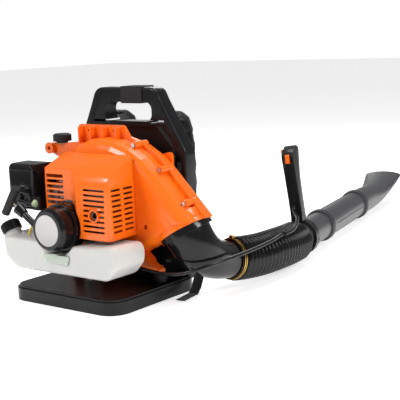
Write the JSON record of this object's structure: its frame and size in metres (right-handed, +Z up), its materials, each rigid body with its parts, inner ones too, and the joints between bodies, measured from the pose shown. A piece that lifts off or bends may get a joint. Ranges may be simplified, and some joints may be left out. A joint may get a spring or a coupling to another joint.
{
  "type": "leaf blower",
  "caption": "Petrol backpack leaf blower: frame with straps, fan volute, covered engine, tank, bellows hose and a hand-held tube.",
  "frame": {"origin": "centre of the base's underside, where the blower stands", "axes": "+X towards the tube's side, +Y towards the wearer and along the tube, +Z up"},
  "size_m": [0.536, 1.6557, 0.485],
  "materials": {
    "black_plastic": "satin black moulded plastic",
    "gloss_black": "glossy black plastic",
    "orange_plastic": "glossy orange plastic",
    "tube_plastic": "semi-matte grey plastic",
    "black_rubber": "matte black rubber",
    "tank_plastic": "translucent white polyethylene",
    "bare_steel": "zinc-plated steel",
    "gold_steel": "yellow zinc-plated steel",
    "cast_alloy": "cast aluminium",
    "muffler_steel": "heat-dulled sheet steel",
    "white_ceramic": "white glazed insulator",
    "phenolic": "brown phenolic",
    "foam": "filter foam",
    "strap_fabric": "black woven webbing and padding",
    "clear_green": "soft translucent rubber",
    "fuel_hose": "yellow translucent fuel line",
    "rope": "braided cord",
    "bracket_paint": "pale painted steel"
  },
  "bodies": {
    "frame": {"back_frame": "black_plastic", "grip_sleeve": "black_rubber", "back_cushion": "strap_fabric", "shoulder_strap_left": "strap_fabric", "shoulder_strap_right": "strap_fabric", "strap_webbing": "strap_fabric", "strap_adjusters": "black_plastic", "isolators": "black_rubber", "isolator_bolts": "bare_steel", "volute_front": "orange_plastic", "volute_rear": "orange_plastic", "housing_screws": "bare_steel", "intake_grille": "black_plastic", "bump_stop": "black_rubber", "crankcase": "cast_alloy", "main_bearings": "bare_steel", "engine_cylinder": "cast_alloy", "spark_plug": "white_ceramic", "plug_cap": "black_rubber", "ignition_coil": "black_plastic", "muffler": "muffler_steel", "engine_cover": "orange_plastic", "insulator": "phenolic", "carburettor": "cast_alloy", "filter_base": "black_plastic", "filter_element": "foam", "starter_housing": "gloss_black", "starter_rope": "rope", "fuel_tank": "tank_plastic", "fuel_line": "fuel_hose", "tank_bracket": "bracket_paint", "elbow": "gloss_black", "hose_near": "gloss_black", "hose_clamps": "gold_steel", "throttle_cable_near": "gloss_black"},
    "crank_train": {"impeller": "black_plastic", "impeller_nut": "bare_steel", "crankshaft": "bare_steel", "flywheel": "cast_alloy", "starter_cup": "bare_steel"},
    "piston_set": {"piston": "cast_alloy", "gudgeon_pin": "bare_steel"},
    "reel": {"starter_reel": "black_plastic"},
    "pull_grip": {"starter_grip": "black_rubber"},
    "cap": {"fuel_cap": "black_plastic"},
    "throttle": {"throttle_arm": "gold_steel"},
    "primer": {"primer_bulb": "clear_green"},
    "filter_lid": {"filter_cover": "gloss_black"},
    "lid_knob": {"filter_knob": "black_plastic"},
    "choke": {"choke_lever": "black_plastic"},
    "hose_middle": {"hose_joint_ring": "black_plastic", "hose_far": "gloss_black", "throttle_cable_far": "gloss_black"},
    "tube": {"swivel_tube": "tube_plastic", "control_handle": "black_plastic"},
    "middle_tube": {"straight_tube": "tube_plastic"},
    "nozzle_end": {"nozzle": "tube_plastic"},
    "stop": {"stop_switch": "orange_plastic"},
    "cruise": {"cruise_lever": "orange_plastic"},
    "trigger": {"throttle_trigger": "orange_plastic"}
  },
  "joints": [
    {"name": "crank_spin", "type": "hinge", "parent": "frame", "child": "crank_train", "pos_m": [-0.02, -0.08, 0.178], "axis": [0, 1, 0], "continuous": true},
    {"name": "piston_slide", "type": "slide", "parent": "frame", "child": "piston_set", "axis": [0, 0, 1], "range_m": [-0.014, 0.014]},
    {"name": "starter_pull", "type": "slide", "parent": "frame", "child": "pull_grip", "axis": [-0.832, 0, 0.5547], "range_m": [0, 0.5], "stiffness_N_per_m": 8, "springref_m": -0.2, "deforming": ["starter_rope"]},
    {"name": "reel_turn", "type": "hinge", "parent": "frame", "child": "reel", "pos_m": [-0.02, -0.16, 0.178], "axis": [0, 1, 0], "range_deg": [0, 840]},
    {"name": "fuel_cap_turn", "type": "hinge", "parent": "frame", "child": "cap", "pos_m": [-0.178, -0.138, 0.137], "axis": [-0.5299, 0, 0.848], "range_deg": [0, 270]},
    {"name": "throttle_turn", "type": "hinge", "parent": "frame", "child": "throttle", "pos_m": [-0.088, -0.08, 0.253], "axis": [0, 1, 0], "range_deg": [0, 60]},
    {"name": "primer_press", "type": "slide", "parent": "frame", "child": "primer", "axis": [0, 1, 0], "range_m": [0, 0.005], "stiffness_N_per_m": 800},
    {"name": "filter_lid_slide", "type": "slide", "parent": "frame", "child": "filter_lid", "axis": [-1, 0, 0], "range_m": [0, 0.09]},
    {"name": "lid_knob_turn", "type": "hinge", "parent": "filter_lid", "child": "lid_knob", "pos_m": [-0.2055, -0.0865, 0.277], "axis": [-1, 0, 0], "range_deg": [0, 180]},
    {"name": "choke_turn", "type": "hinge", "parent": "frame", "child": "choke", "pos_m": [-0.118, -0.106, 0.288], "axis": [1, 0, 0], "range_deg": [0, 60]},
    {"name": "hose_yaw", "type": "hinge", "parent": "frame", "child": "hose_middle", "pos_m": [0.257, 0.21, 0.068], "axis": [0, 0, 1], "range_deg": [-20, 20], "deforming": ["hose_near", "throttle_cable_near"]},
    {"name": "hose_pitch", "type": "hinge", "parent": "hose_middle", "child": "tube", "pos_m": [0.252, 0.375, 0.063], "axis": [1, 0, 0], "range_deg": [-12, 25], "deforming": ["hose_far", "throttle_cable_far"]},
    {"name": "tube_twist", "type": "hinge", "parent": "tube", "child": "middle_tube", "pos_m": [0.18244, 0.67003, 0.05606], "axis": [-0.23, 0.9731, -0.0105], "range_deg": [-30, 30]},
    {"name": "nozzle_twist", "type": "hinge", "parent": "middle_tube", "child": "nozzle_end", "pos_m": [0.09848, 1.02522, 0.05224], "axis": [-0.23, 0.9731, -0.0105], "range_deg": [-90, 90]},
    {"name": "trigger_pull", "type": "hinge", "parent": "tube", "child": "trigger", "pos_m": [0.19177, 0.51932, 0.26607], "axis": [-0.9656, -0.2296, -0.1219], "range_deg": [0, 16], "stiffness_Nm_per_rad": 0.15},
    {"name": "cruise_turn", "type": "hinge", "parent": "tube", "child": "cruise", "pos_m": [0.17702, 0.49224, 0.26983], "axis": [-0.9656, -0.2296, -0.1219], "range_deg": [0, 50]},
    {"name": "stop_press", "type": "slide", "parent": "tube", "child": "stop", "axis": [-0.23, 0.9731, -0.0105], "range_m": [0, 0.002]}
  ],
  "couplings": [
    {"joint": "reel_turn", "follows": "starter_pull", "rad_per_m": 28.8},
    {"joint": "throttle_turn", "follows": "trigger_pull", "ratio": 3.4}
  ]
}
